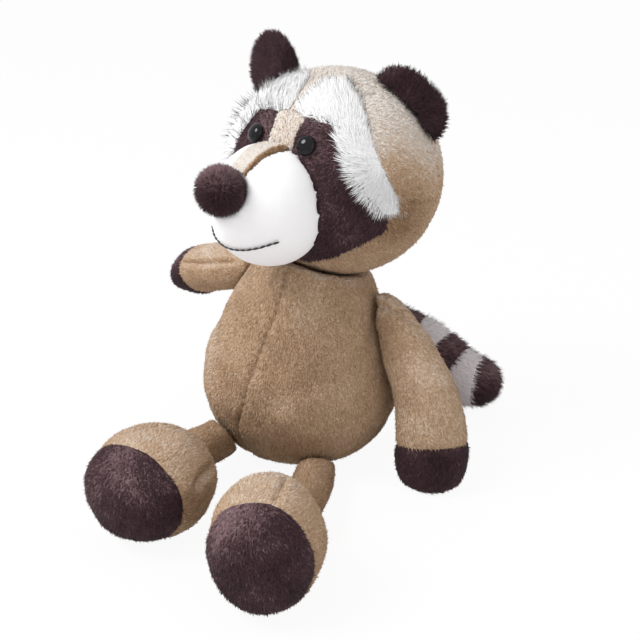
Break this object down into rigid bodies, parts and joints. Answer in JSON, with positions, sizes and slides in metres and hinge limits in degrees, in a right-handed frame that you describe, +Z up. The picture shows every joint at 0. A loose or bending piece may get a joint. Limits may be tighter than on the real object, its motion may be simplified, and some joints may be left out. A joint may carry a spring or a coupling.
{
  "type": "plush raccoon",
  "caption": "Sitting plush raccoon with a round head, masked face, pom-pom nose, floppy limbs and a ringed tail.",
  "frame": {"origin": "middle of the flat seat under the torso, on the surface that the toy sits on", "axes": "+Z up, the toy faces -Y, its left side is at +X"},
  "size_m": [0.1966, 0.2383, 0.2107],
  "materials": {
    "taupe_pile": "short brushed pile",
    "dark_pile": "short brushed pile",
    "white_long_pile": "long fluffy pile",
    "pale_tail_pile": "medium fluffy pile",
    "white_velour": "smooth velour",
    "eye_plastic": "polished",
    "washer_plastic": "moulded",
    "mouth_thread": "twisted thread"
  },
  "bodies": {
    "root": {"torso": "taupe_pile", "head": "taupe_pile", "mask_patch_left": "dark_pile", "mask_patch_right": "dark_pile", "brow_patch_left": "white_long_pile", "brow_patch_right": "white_long_pile", "muzzle": "white_velour", "bridge_strip": "taupe_pile", "nose_ball": "dark_pile", "mouth_stitch": "mouth_thread", "eye_left": "eye_plastic", "eye_right": "eye_plastic", "eye_washer_left": "washer_plastic", "eye_washer_right": "washer_plastic", "ear_left": "dark_pile", "ear_right": "dark_pile", "arm_left": "taupe_pile", "arm_right": "taupe_pile", "hand_left": "dark_pile", "hand_right": "dark_pile", "leg_left": "taupe_pile", "leg_right": "taupe_pile", "foot_left": "taupe_pile", "foot_right": "taupe_pile", "sole_left": "dark_pile", "sole_right": "dark_pile", "tail_ring_1": "dark_pile", "tail_ring_2": "pale_tail_pile", "tail_ring_3": "dark_pile", "tail_ring_4": "pale_tail_pile", "tail_ring_5": "dark_pile", "tail_ring_6": "pale_tail_pile", "tail_ring_7": "dark_pile"}
  },
  "joints": []
}
